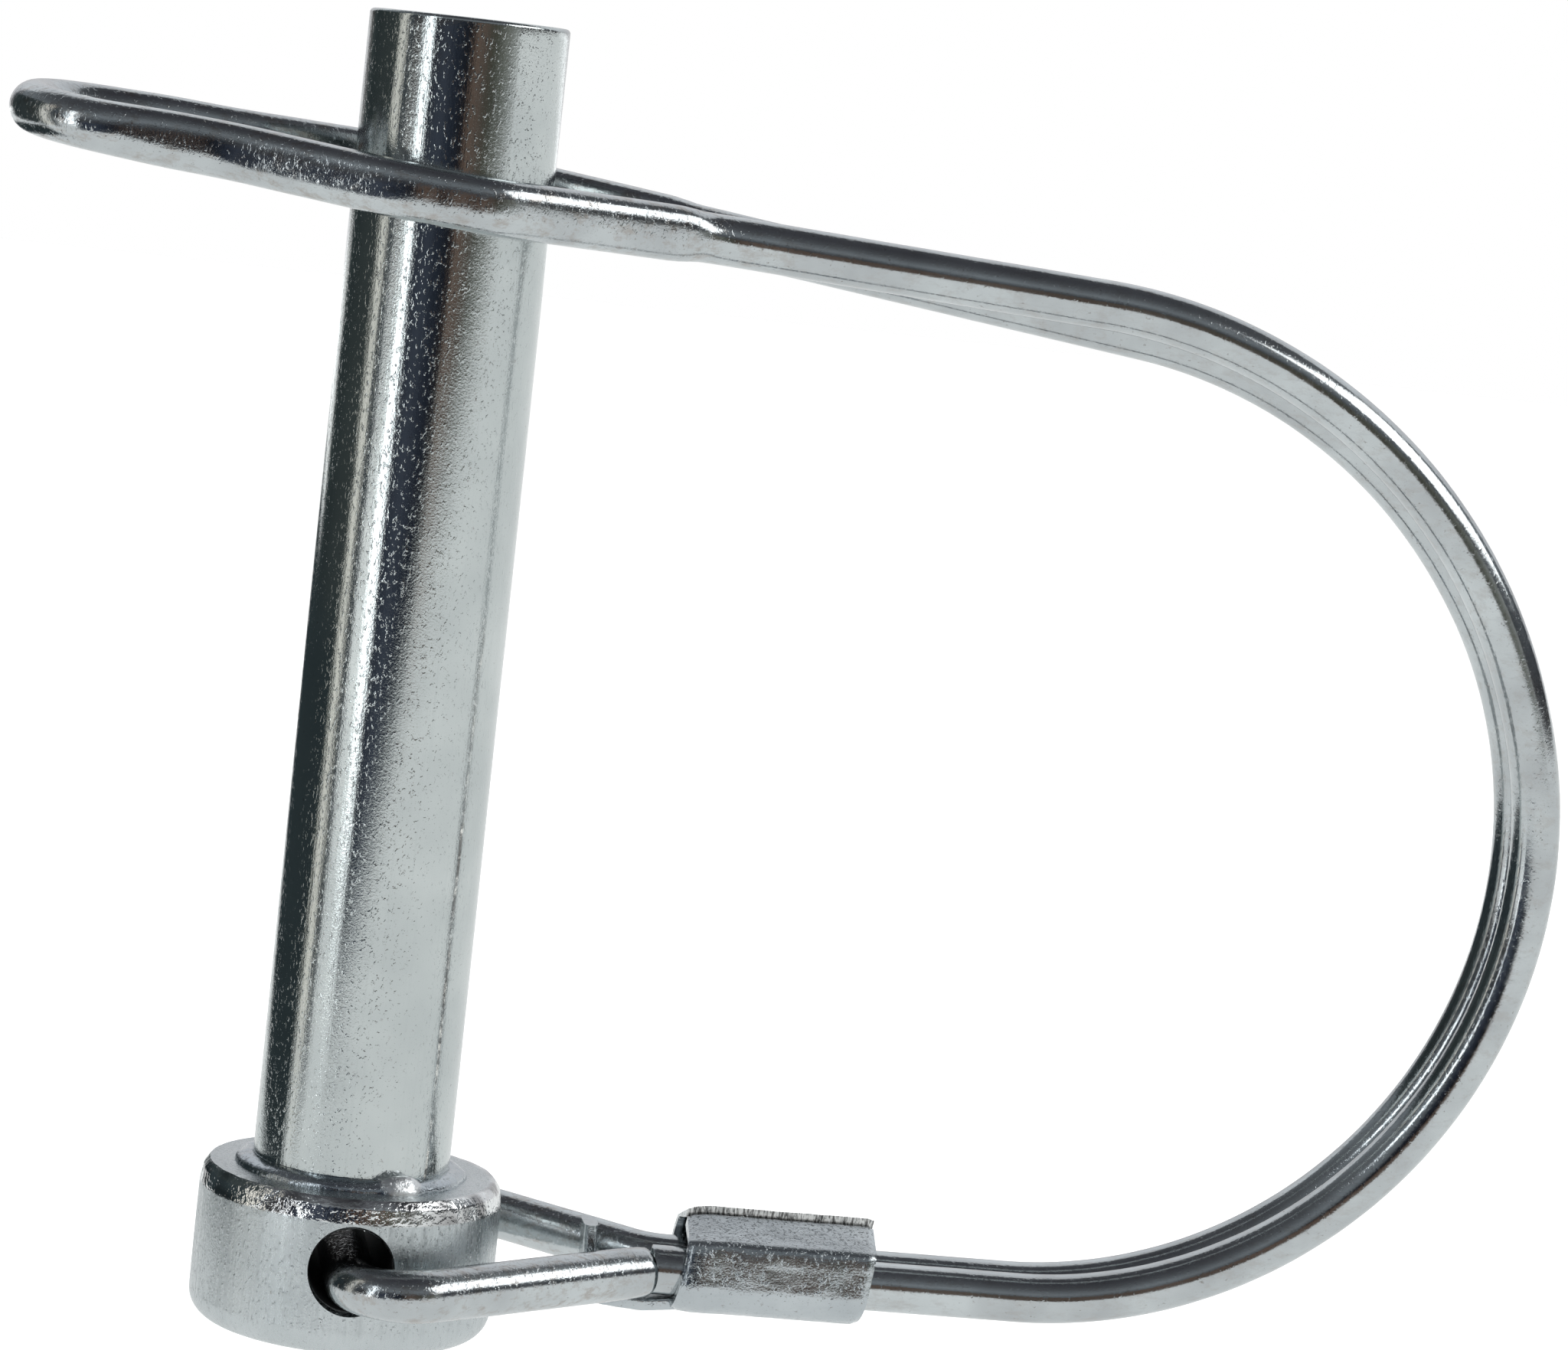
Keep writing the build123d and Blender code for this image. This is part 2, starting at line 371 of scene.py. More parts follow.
def weld_material():
    """Smooth puddled metal, frosted on the lump where the weld was finished."""
    bright, dull = (0.60, 0.65, 0.67), (0.36, 0.40, 0.44)
    nodes = zinc("weld", bright, dull, 0.14, 0.012, (1.2, 1.2, 1.2))
    away = nodes.add("ShaderNodeVectorMath", operation="DISTANCE")
    nodes.link(nodes.scaled((1, 1, 1)), away.inputs[0])
    away.inputs[1].default_value = WELD_LUMP
    frosted = nodes.range(away.outputs["Value"], 1.15, 0.90, 0.0, 0.7)
    nodes.colour = nodes.mix(frosted, nodes.colour, (0.95, 0.96, 0.95))
    nodes.gloss = blend_values(nodes, frosted, nodes.gloss, 0.40)
    puckered = nodes.noise((3.0, 3.0, 3.0), detail=3.0)
    nodes.height = nodes.add_up(nodes.height, puckered, 3.0)
    return finished(nodes)


def wire_material():
    """Drawn spring wire, scuffed where it was worked: at the arms and the snap loop. A brown speckle painted
    over it, strongest there, stands in for mirrored brownish shade.
    """
    bright, dull = (0.60, 0.64, 0.65), (0.44, 0.465, 0.475)
    nodes = zinc("zinc_wire", bright, dull, 0.11, 0.0060, (0.4, 3.0, 3.0), speck_share=0.02)
    worked = nodes.range(separate(nodes)["X"], 12.0, 17.0, 1.0, 0.42)
    # Painted reflection: a brown speckle in the colour, strongest at the arms and the snap loop, that stands
    # in for the brownish shade the wire mirrors.
    brown_speckle_noise = nodes.noise((0.9, 1.8, 1.8), detail=5.0, rough=0.7)
    painted_brown_reflection = times(nodes, worked, nodes.range(brown_speckle_noise, 0.50, 0.66, 0.0, 0.65))
    nodes.colour = nodes.mix(painted_brown_reflection, nodes.colour, (0.38, 0.35, 0.32))
    nodes.height = times(nodes, worked, nodes.height)
    return finished(nodes)


def clip_material():
    """Pressed sheet with tool marks, and sheared edges with bright and dark stripes."""
    bright, dull = (0.58, 0.62, 0.635), (0.44, 0.48, 0.50)
    nodes = zinc("zinc_clip", bright, dull, 0.10, 0.016, (0.5, 3.0, 3.0), speck_share=0.03)
    place = separate(nodes)
    front = nodes.range(place["Y"], -0.25, -0.10, 0.0, 1.0)
    back = nodes.range(place["Y"], 0.40, 0.30, 0.0, 1.0)
    seam = times(nodes, front, back)
    seam = times(nodes, seam, nodes.range(place["Z"], -1.3, -1.2, 0.0, 1.0))
    stripes = nodes.noise((9.0, 0.4, 2.0), detail=2.0)
    sheared = nodes.ramp(stripes, [(0.38, (0.16, 0.16, 0.16)), (0.56, (0.90, 0.91, 0.90))])
    nodes.colour = nodes.mix(seam, nodes.colour, sheared)
    nodes.gloss = blend_values(nodes, seam, nodes.gloss, 0.35)
    return finished(nodes)


# ---------------------------------------------------------------- pin


def turned(name, profile, sides, shape=None):
    """A solid of revolution about Z from (radius, z) points in metres, with its surface moved by shape."""
    rings = []
    for radius, z in profile:
        ring = []
        for j in range(sides):
            angle = 2 * math.pi * j / sides
            r, lift = shape(radius, angle, z) if shape else (radius, 0.0)
            ring.append((r * math.cos(angle), r * math.sin(angle), z + lift))
        rings.append(ring)
    return grid_mesh(name, rings)


def arc(centre, radius, start, end, steps):
    """Points on an arc, with its angles in degrees."""
    turn = [math.radians(start + (end - start) * i / steps) for i in range(steps + 1)]
    return [(centre[0] + radius * math.cos(a), centre[1] + radius * math.sin(a)) for a in turn]


def line(start, end, steps):
    """Evenly spaced points from start up to, but without, end."""
    return [tuple(s + (e - s) * i / steps for s, e in zip(start, end)) for i in range(steps)]


def shank_surface(radius, angle, z):
    """The drawn bar isn't quite round or straight: shallow flats and ripples a few microns deep."""
    around = (math.cos(angle) * 2.0, math.sin(angle) * 2.0, z / MM)
    ripple = 0.004 * lumps((around[0], around[1], around[2] * 0.12), 1.3, 3.1)
    ripple += 0.002 * lumps((around[0] * 3, around[1] * 3, around[2] * 0.5), 1.0, 8.2)
    return radius * (1 + ripple * 0.35), 0.0


def shank():
    """The plain bar, from inside the weld to the rounded edge of its flat tip."""
    radius = PIN_RADIUS - 0.02 * MM
    profile = line((radius, 0.2 * MM), (radius, SHANK_TOP - TIP_ROUND), 160)
    profile += arc((radius - TIP_ROUND, SHANK_TOP - TIP_ROUND), TIP_ROUND, 0, 90, 8)
    profile += line((PIN_RADIUS - 0.6 * MM, SHANK_TOP), (0.2 * MM, SHANK_TOP), 14)
    mesh_data = turned("shank", profile, 160, shank_surface)
    return new_piece("pin_shank_drawn", mesh_data, "pin", shank_material(), ["pin_shank"])


def head_surface(radius, angle, z):
    """Hammered dents round the upper rim, and a slightly barrelled side."""
    on_side = window(z, HEAD_BOTTOM + 1.5 * MM, -0.2 * MM, 0.8 * MM)
    near_edge = smooth((radius - 0.82 * HEAD_RADIUS) / (0.12 * HEAD_RADIUS))
    rim = window(z, -1.15 * MM, -0.05 * MM, 0.25 * MM) * near_edge
    place = (7.3 * math.cos(angle), 7.3 * math.sin(angle), z / MM)
    dents = min(0.0, lumps(place, 0.9, 1.0) + 0.15) * 0.05 + lumps(place, 0.35, 5.0) * 0.012
    side = lumps((place[0], place[1], place[2] * 0.15), 0.5, 9.0) * 0.006
    barrel = 0.02 * math.cos((z / HEAD_BOTTOM - 0.5) * math.pi)
    off_centre = 0.13 * math.cos(angle) * smooth((radius / HEAD_RADIUS - 0.5) / 0.4)
    moved = radius + (rim * dents + on_side * (side + barrel - 0.02) + off_centre) * MM
    return moved, rim * min(0.0, lumps(place, 0.7, 12.0)) * 0.03 * MM


def head_profile():
    """From the middle of the lower face, up the side and over the rim to the upper face."""
    low_centre = (HEAD_RADIUS - HEAD_BOTTOM_ROUND, HEAD_BOTTOM + HEAD_BOTTOM_ROUND)
    profile = line((0.2 * MM, HEAD_BOTTOM), (low_centre[0], HEAD_BOTTOM), 10)
    profile += arc(low_centre, HEAD_BOTTOM_ROUND, -90, 0, 12)
    profile += line((HEAD_RADIUS, low_centre[1] + 0.05 * MM), (HEAD_RADIUS, -HEAD_RIM_DROP), 44)
    profile += line((HEAD_RADIUS, -HEAD_RIM_DROP), (HEAD_RADIUS - 0.12 * MM, -0.35 * HEAD_RIM_DROP), 8)
    profile += line((HEAD_RADIUS - 0.12 * MM, -0.35 * HEAD_RIM_DROP), (HEAD_FACE_RADIUS, -0.03 * MM), 6)
    profile += line((HEAD_FACE_RADIUS - 0.04 * MM, 0.0), (PIN_RADIUS * 0.9, 0.0), 12)
    profile += line((PIN_RADIUS * 0.9, 0.0), (0.2 * MM, 0.0), 4)
    return profile


def hole_cutter():
    """The cross hole's drill, which flares a little where it leaves the head's side."""
    flare_start = HEAD_RADIUS - 0.42 * MM
    reach = HEAD_RADIUS + 1.0 * MM
    flare = CROSS_HOLE_RADIUS + 0.42 * (reach - flare_start)
    profile = [(flare, -reach), (CROSS_HOLE_RADIUS, -flare_start)]
    profile += [(CROSS_HOLE_RADIUS, flare_start), (flare, reach)]
    mesh_data = turned("drill", profile, 96)
    mesh_data.transform(Matrix.Translation((0, 0, CROSS_HOLE_Z)) @ Matrix.Rotation(math.pi / 2, 4, "X"))
    drill = bpy.data.objects.new("drill", mesh_data)
    bpy.context.scene.collection.objects.link(drill)
    return drill


def head():
    """The forged head with its cross hole cut through."""
    solid = bpy.data.objects.new("head", turned("head", head_profile(), 360, head_surface))
    bpy.context.scene.collection.objects.link(solid)
    drill = hole_cutter()
    cut = solid.modifiers.new("hole", "BOOLEAN")
    cut.operation = "DIFFERENCE"
    cut.solver = "EXACT"
    cut.object = drill
    graph = bpy.context.evaluated_depsgraph_get()
    mesh_data = bpy.data.meshes.new_from_object(solid.evaluated_get(graph))
    for scrap in (solid, drill):
        bpy.data.objects.remove(scrap)
    mesh_data.materials.clear()
    piece = new_piece("head_forged", mesh_data, "pin", head_material(), ["head_collar"])
    mesh_data.set_sharp_from_angle(angle=math.radians(38))
    return piece


def weld_surface(radius, angle, z):
    """Overlapping ripples round the ring, and the raised lump where the weld was finished."""
    turn = angle - WELD_LUMP_ANGLE
    away = math.atan2(math.sin(turn), math.cos(turn))
    lump = math.exp(-((away / 0.19) ** 4))
    height = max(0.0, z) / BEAD_TOP
    outward = smooth((radius - PIN_RADIUS) / (BEAD_RADIUS - PIN_RADIUS))
    place = (math.cos(angle) * 5.2, math.sin(angle) * 5.2, z / MM)
    wander = lumps(place, 1.6, 2.0) * 0.14 + lumps(place, 0.5, 4.0) * 0.03 - 0.08
    crest = 1 - (2 * outward - 1) ** 2
    moved = radius + (wander + 0.24 * lump) * outward * MM
    return moved, (0.06 * lumps(place, 0.8, 6.0) * height + 0.38 * lump * crest) * MM


def weld():
    """The ring of weld, convex from the shank down to the head's face."""
    profile = [(PIN_RADIUS - 0.15 * MM, -0.1 * MM), (PIN_RADIUS - 0.15 * MM, BEAD_TOP * 0.8)]
    steps = 14
    for i in range(steps + 1):
        share = i / steps
        radius = PIN_RADIUS + (BEAD_RADIUS - PIN_RADIUS) * math.sin(share * math.pi / 2)
        profile.append((radius, BEAD_TOP * math.cos(share * math.pi / 2) ** 0.8 - 0.02 * MM * share))
    profile += [(BEAD_RADIUS, -0.1 * MM)]
    mesh_data = turned("weld", profile[::-1], 300, weld_surface)
    return new_piece("weld_ring", mesh_data, "pin", weld_material(), ["weld_bead"])


# ---------------------------------------------------------------- wire


def on_loop(x, y):
    """The point of the snap loop's tilted plane over x and y."""
    return Vector((x, y, LOOP_Z_AT_AXIS - LOOP_FALL_PER_X * x + LOOP_RISE_PER_Y * y))


def wire_corners():
    """The wire's corners and bend radii, from its butt end through the head, round the D and back."""
    corners = [(Vector((ARM_END[0], ARM_END[1], LOWER_RUN_Z)), 0)]
    corners += [(Vector((0, -FRONT_CORNER_Y, PIVOT_Z)), 2.5)]
    corners += [(Vector((0, BACK_CORNER_Y, BACK_CORNER_Z)), 1.8)]
    corners += [(Vector(BACK_ARM_RISE), 8.0), (Vector((15.0, STRAND_Y, LOWER_RUN_Z)), 3.0)]
    corners += [(Vector((BACK_BOTTOM_X, STRAND_Y, LOWER_RUN_Z)), 23.3)]
    corners += [(Vector((BACK_TOP[0], STRAND_Y, BACK_TOP[1])), 25.2)]
    half = [(12.4, STRAND_Y, 6.0), (1.5, 6.6, 3.0), (-3.0, 6.6, 6.0)]
    half += [(-10.5, 3.8, 8.0), (-19.8, 3.8, 3.79)]
    corners += [(on_loop(x, y), radius) for x, y, radius in half]
    corners += [(on_loop(x, -y), radius) for x, y, radius in reversed(half)]
    corners += [(Vector((FRONT_TOP[0], -STRAND_Y, FRONT_TOP[1])), 26.2)]
    corners += [(Vector((FRONT_BOTTOM_X, -STRAND_Y, LOWER_RUN_Z)), 23.3)]
    corners += [(Vector((BUTT_END_X, -STRAND_Y, LOWER_RUN_Z)), 0)]
    return corners


def rounded_route(corners, step):
    """Points a step apart along straight runs joined by tangent arcs."""
    route = [corners[0][0]]
    for i in range(1, len(corners) - 1):
        before, corner, after = corners[i - 1][0], corners[i][0], corners[i + 1][0]
        radius = corners[i][1]
        inward, outward = (corner - before).normalized(), (after - corner).normalized()
        turn = inward.angle(outward)
        setback = radius * math.tan(turn / 2)
        start, end = corner - inward * setback, corner + outward * setback
        add_run(route, start, step)
        centre = start + (outward - inward * inward.dot(outward)).normalized() * radius
        axis = inward.cross(outward).normalized()
        steps = max(2, round(radius * turn / step))
        for k in range(1, steps + 1):
            route.append(centre + Matrix.Rotation(turn * k / steps, 3, axis) @ (start - centre))
        route[-1] = end
    add_run(route, corners[-1][0], step)
    return route


def add_run(route, end, step):
    """Adds a straight run of points, about a step apart, up to and with end."""
    start = route[-1].copy()
    steps = max(1, round((end - start).length / step))
    for k in range(1, steps + 1):
        route.append(start.lerp(end, k / steps))


def pressed(point):
    """How far the forming tool has flattened the wire here, from 0 to 1."""
    in_loop = 1.0 if point.z > LOOP_LOW_Z else 0.0
    return in_loop * smooth((point.x + 18.5) / 6.0) * window(point.x, -30.0, 10.5, 1.6)


def wire_ring(point, along, sides):
    """A cross-section: round, or pressed narrow and tall with flat flanks where it was formed."""
    if abs(along.z) > 0.9 or (abs(along.x) > 0.3 and point.z < LOOP_LOW_Z):
        across = Vector((0, 1, 0))
    else:
        across = Vector((0, 0, 1)).cross(along)
    across = (across - along * across.dot(along)).normalized()
    upward = along.cross(across)
    flat = pressed(point)
    arm = window(point.x, 3.0, 13.0, 2.0) if point.z < 0.0 and point.y < 0.0 else 0.0
    wide, tall, power = 1 - 0.04 * flat, 1 + 0.11 * flat + 0.05 * arm, 2 + 0.9 * flat
    ring = []
    for j in range(sides):
        angle = 2 * math.pi * j / sides
        c, s = math.cos(angle), math.sin(angle)
        size = (abs(c) ** power + abs(s) ** power) ** (-1 / power)
        around = across * (c * size * wide) + upward * (s * size * tall)
        place = point + around
        wobble = 1 + 0.005 * lumps(place * 0.5, 1.1, 4.0) + 0.003 * lumps(place, 0.35, 7.0)
        wobble -= dent(point)
        ring.append((point + around * WIRE_RADIUS * wobble) * MM)
    return ring


def dent(point):
    """Small marks that the bending tool left at the ends of the pressed stretch."""
    if point.z < LOOP_LOW_Z:
        return 0.0
    marks = 0.0
    for place, width in ((11.0, 0.5), (0.3, 0.7), (-1.5, 0.5)):
        marks += math.exp(-(((point.x - place) / width) ** 2))
    return 0.035 * marks * (0.6 + 0.4 * lumps(point, 0.6, 2.0))


def wire():
    """The whole bail wire in one length. Above the D's shoulder it runs round the snap loop."""
    sides = 40
    route = rounded_route(wire_corners(), 0.28)
    rings = []
    previous = None
    for i, point in enumerate(route):
        ahead = route[min(i + 1, len(route) - 1)]
        behind = route[max(i - 1, 0)]
        along = (ahead - behind).normalized()
        ring = wire_ring(point, along, sides)
        if previous:
            ring = aligned(ring, previous)
        rings.append(ring)
        previous = ring
    rings = [butt_end(rings[0], rings[1])] + rings + [butt_end(rings[-1], rings[-2])]
    mesh_data = grid_mesh("wire", rings)
    nodes = ["wire_pivot_arm", "wire_lower_bow_front", "wire_lower_bow_back"]
    nodes += ["wire_upper_bow_front", "wire_upper_bow_back", "wire_snap_loop"]
    piece = new_piece("bail_wire", mesh_data, None, wire_material(), nodes)
    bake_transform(piece)
    return piece


def aligned(ring, previous):
    """The ring turned, and reversed if need be, so that each point follows the one before it."""
    best = None
    for candidate in (ring, ring[::-1]):
        for shift in range(len(ring)):
            moved = candidate[shift:] + candidate[:shift]
            gap = (moved[0] - previous[0]).length + (moved[10] - previous[10]).length
            if best is None or gap < best[0]:
                best = (gap, moved)
    return best[1]


def butt_end(ring, inner):
    """The sheared end's edge, drawn in a little."""
    centre = sum(ring, Vector()) / len(ring)
    outward = (centre - sum(inner, Vector()) / len(inner)).normalized()
    return [centre + (point - centre) * 0.84 + outward * 0.12 * MM for point in ring]


# ---------------------------------------------------------------- clip


def clip_outline(grow):
    """The clip's section as (y, z) points, on a surface moved outward by grow, from seam to seam."""
    radius = WIRE_RADIUS + CLIP_SLACK + grow
    shoulder_z = -1.85
    side = -STRAND_Y - radius
    points = [(-0.15, -0.86 + 0.9 * (grow - SHEET))]
    points += [(side + 0.56, shoulder_z + 0.22 * grow), (side + 0.42, shoulder_z - 0.06)]
    points += [(side + 0.30, shoulder_z - 0.5), (side + 0.07, LOWER_RUN_Z - 0.30)]
    points += arc((-STRAND_Y, LOWER_RUN_Z), radius, 198, 270, 10)
    points += arc((STRAND_Y, LOWER_RUN_Z), radius, 270, 360, 10)
    points += [(STRAND_Y + radius, shoulder_z - 0.3), (STRAND_Y + radius - 0.25, shoulder_z + 0.3)]
    points += [(0.12, -0.50 + 0.9 * (grow - SHEET))]
    return points


def resampled(points, count):
    """The outline with its points evenly spaced."""
    path = [Vector((0, *point)) for point in points]
    lengths = [(b - a).length for a, b in zip(path, path[1:])]
    total = sum(lengths)
    result = []
    for i in range(count):
        target = total * i / (count - 1)
        k = 0
        while k < len(lengths) - 1 and target > lengths[k]:
            target -= lengths[k]
            k += 1
        result.append(path[k].lerp(path[k + 1], min(1.0, target / max(lengths[k], 1e-9))))
    return result


def clip_band():
    """The folded band, with rolled edges at both ends and sheared flap edges."""
    count = 110
    outer = resampled(clip_outline(SHEET), count)
    inner = resampled(clip_outline(0.0), count)
    length = CLIP_END_X - CLIP_START_X
    stations = 90
    rings = []
    for i in range(stations + 1):
        x = CLIP_START_X + length * i / stations
        edge = min(x - CLIP_START_X, CLIP_END_X - x)
        rolled = 0.16 * (1 - smooth(edge / 0.35))
        flare = -0.10 * (1 - smooth((x - CLIP_START_X) / 1.2))
        ring = []
        for out, into in zip(outer, inner):
            ring.append(clip_point(x, out, into, rolled, flare))
        for out, into in zip(reversed(outer), reversed(inner)):
            ring.append(clip_point(x, into, out, rolled, flare))
        rings.append(ring)
    return rings


def clip_point(x, surface, other, rolled, flare):
    """A point of the band's surface, drawn towards the other surface at its ends, with press marks."""
    place = surface.lerp(other, rolled) + Vector((x, 0, 0))
    place.x += 0.14 * (place.z - LOWER_RUN_Z + 1.9)
    centre = Vector((x, 0, LOWER_RUN_Z))
    outward = (place - centre).normalized()
    marks = 0.012 * lumps((x * 0.7, place.y, place.z * 2.2), 0.36, 3.0) + 0.03 * lumps(place, 1.1, 6.0)
    if surface.y < 0:
        squeeze = 0.05 * math.sin(x * 2.1 + place.z * 0.6)
        marks += squeeze * window(place.z, -4.6, -2.4, 0.5) * 0.5
    return (place + outward * (marks + flare)) * MM


def tongue_rings():
    """The tongue under the arms, boat-shaped, whose end stands up as a tab."""
    floor_z = LOWER_RUN_Z - WIRE_RADIUS - CLIP_SLACK - SHEET / 2
    corners = [
        (Vector((CLIP_START_X + 1.0, -0.1, floor_z)), 0),
        (Vector((14.7, -0.1, floor_z - 0.25)), 1.5),
        (Vector((12.5, -0.1, floor_z - 0.1)), 0.6),
        (Vector((11.95, -0.1, floor_z + 1.0)), 0.9),
        (Vector((11.85, -0.1, -1.65)), 0),
    ]
    route = rounded_route(corners, 0.12)
    sides = 48
    rings = []
    for i, point in enumerate(route):
        along = (route[min(i + 1, len(route) - 1)] - route[max(i - 1, 0)]).normalized()
        across = Vector((0, 1, 0))
        upward = along.cross(across).normalized()
        half_width = 1.15 + 0.35 * window(point.x, 13.4, 17.0, 0.9) - 0.12 * smooth((point.z + 3.5) / 1.5)
        ring = []
        for j in range(sides):
            angle = 2 * math.pi * j / sides
            c, s = math.cos(angle), math.sin(angle)
            size = (abs(c) ** 5 + abs(s) ** 5) ** (-1 / 5)
            dish = 0.16 * c * c * window(point.x, 13.2, 17.0, 1.0)
            rough = 0.05 * lumps(point + across * c * 1.2, 0.35, 5.0)
            place = point + across * (c * size * half_width) + upward * (s * size * SHEET / 2 * (1 + rough))
            place.z += dish
            ring.append(place * MM)
        rings.append(ring)
    return rings


def joined(name, meshes):
    """Several meshes as one, welded where their points meet."""
    whole = bmesh.new()
    for mesh_data in meshes:
        whole.from_mesh(mesh_data)
        bpy.data.meshes.remove(mesh_data)
    bmesh.ops.remove_doubles(whole, verts=whole.verts, dist=0.0005 * MM)
    bmesh.ops.recalc_face_normals(whole, faces=whole.faces)
    mesh_data = bpy.data.meshes.new(name)
    whole.to_mesh(mesh_data)
    whole.free()
    return mesh_data


def clip_ends(rings, flip):
    """Faces that close the band's end between its outer and inner surfaces."""
    ring = rings[-1] if flip else rings[0]
    half = len(ring) // 2
    faces = []
    for j in range(half - 1):
        a, b = j, j + 1
        c, d = len(ring) - 2 - j, len(ring) - 1 - j
        faces.append((a, b, c, d))
    mesh_data = bpy.data.meshes.new("end")
    mesh_data.from_pydata([tuple(p) for p in ring], [], faces)
    return mesh_data


def clip():
    """The pressed clip, whose band and tongue are one sheet."""
    rings = clip_band()
    parts = [grid_mesh("band", rings, close_ends=False), clip_ends(rings, False), clip_ends(rings, True)]
    parts.append(grid_mesh("tongue", tongue_rings()))
    mesh_data = joined("clip", parts)
    piece = new_piece("crimp_clip_pressed", mesh_data, "bail", clip_material(), ["crimp_clip"])
    mesh_data.set_sharp_from_angle(angle=math.radians(42))
    return piece


# ---------------------------------------------------------------- stage


def camera():
    """The camera, a little left of the pin and above its middle, rolled so that the pin leans."""
    forward = Vector(
        (
            math.sin(CAMERA_YAW) * math.cos(CAMERA_PITCH),
            math.cos(CAMERA_YAW) * math.cos(CAMERA_PITCH),
            -math.sin(CAMERA_PITCH),
        )
    )
    level = Vector((math.cos(CAMERA_YAW), -math.sin(CAMERA_YAW), 0))
    above = level.cross(forward)
    right = level * math.cos(CAMERA_ROLL) + above * math.sin(CAMERA_ROLL)
    up = above * math.cos(CAMERA_ROLL) - level * math.sin(CAMERA_ROLL)
    data = bpy.data.cameras.new("camera")
    data.lens = CAMERA_LENS
    data.sensor_width = 36.0
    data.clip_start = 0.01
    data.clip_end = 20.0
    viewer = bpy.data.objects.new("camera", data)
    turn = Matrix((right, up, -forward)).transposed()
    viewer.matrix_world = Matrix.Translation(CAMERA_PLACE) @ turn.to_4x4()
    bpy.context.scene.collection.objects.link(viewer)
    bpy.context.scene.camera = viewer


def floor():
    """A wide pale floor, low enough for the bail to swing right round above it."""
    side = 3.0
    data = bpy.data.meshes.new("floor")
    corners = [(-side, -side, 0), (side, -side, 0), (side, side, 0), (-side, side, 0)]
    data.from_pydata(corners, [], [(0, 1, 2, 3)])
    plane = bpy.data.objects.new("floor", data)
    plane.location.z = FLOOR_Z
    bpy.context.scene.collection.objects.link(plane)
    nodes = Nodes("floor")
    grain = nodes.noise((0.02, 0.02, 0.02), detail=2.0)
    pale = nodes.ramp(grain, [(0.3, (0.87, 0.88, 0.87)), (0.7, (0.89, 0.89, 0.89))])
    nodes.link(pale, nodes.shader.inputs["Base Color"])
    nodes.shader.inputs["Roughness"].default_value = 0.9
    nodes.shader.inputs["Specular IOR Level"].default_value = 0.2
    data.materials.append(nodes.material)


def room():
    """White to the camera, an even grey to what is matt, and a dark room with a dim ceiling to the metal."""
    world = bpy.data.worlds.new("studio")
    bpy.context.scene.world = world
    world.use_nodes = True
    tree = world.node_tree
    tree.nodes.clear()
    output = tree.nodes.new("ShaderNodeOutputWorld")
    seen = tree.nodes.new("ShaderNodeBackground")
    seen.inputs["Color"].default_value = (1.0, 1.0, 1.0, 1)
    mirrored = tree.nodes.new("ShaderNodeBackground")
    place = tree.nodes.new("ShaderNodeTexCoord")
    split = tree.nodes.new("ShaderNodeSeparateXYZ")
    tree.links.new(place.outputs["Generated"], split.inputs[0])
    ramp = tree.nodes.new("ShaderNodeValToRGB")
    stops = [(0.0, (0.7, 0.7, 0.7)), (0.47, (0.30, 0.30, 0.30)), (0.52, (0.05, 0.045, 0.045))]
    stops += [(0.62, (0.07, 0.075, 0.085)), (0.75, (0.24, 0.26, 0.28))]
    stops += [(0.90, (0.11, 0.115, 0.125)), (1.0, (0.06, 0.06, 0.07))]
    set_stops(ramp, stops)
    height = tree.nodes.new("ShaderNodeMapRange")
    height.inputs["From Min"].default_value = -1.0
    height.inputs["From Max"].default_value = 1.0
    tree.links.new(split.outputs["Z"], height.inputs["Value"])
    tree.links.new(height.outputs["Result"], ramp.inputs["Fac"])
    tree.links.new(ramp.outputs["Color"], mirrored.inputs["Color"])
    ambient = tree.nodes.new("ShaderNodeBackground")
    ambient.inputs["Color"].default_value = (0.62, 0.62, 0.62, 1)
    path = tree.nodes.new("ShaderNodeLightPath")
    soft = tree.nodes.new("ShaderNodeMixShader")
    tree.links.new(path.outputs["Is Diffuse Ray"], soft.inputs["Fac"])
    tree.links.new(mirrored.outputs[0], soft.inputs[1])
    tree.links.new(ambient.outputs[0], soft.inputs[2])
    mix = tree.nodes.new("ShaderNodeMixShader")
    tree.links.new(path.outputs["Is Camera Ray"], mix.inputs["Fac"])
    tree.links.new(soft.outputs[0], mix.inputs[1])
    tree.links.new(seen.outputs[0], mix.inputs[2])
    tree.links.new(mix.outputs[0], output.inputs["Surface"])


def direction(azimuth, elevation):
    """A direction from the part: azimuth 0 is towards the camera's side and 90 to the right, in degrees."""
    turn, rise = math.radians(azimuth), math.radians(elevation)
    return Vector((math.cos(rise) * math.sin(turn), -math.cos(rise) * math.cos(turn), math.sin(rise)))


def soft_light(name, azimuth, elevation, distance, size, radiance, colour=(1, 1, 1)):
    """A rectangular softbox that faces the part, given by how bright it looks in a mirror."""
    data = bpy.data.lights.new(name, "AREA")
    data.shape = "RECTANGLE"
    data.size, data.size_y = size
    data.energy = radiance * math.pi * size[0] * size[1]
    data.color = colour
    lamp = bpy.data.objects.new(name, data)
    away = direction(azimuth, elevation)
    lamp.location = CENTRE + away * distance
    lamp.rotation_mode = "QUATERNION"
    lamp.rotation_quaternion = (-away).to_track_quat("-Z", "Y")
    lamp.visible_camera = False
    bpy.context.scene.collection.objects.link(lamp)


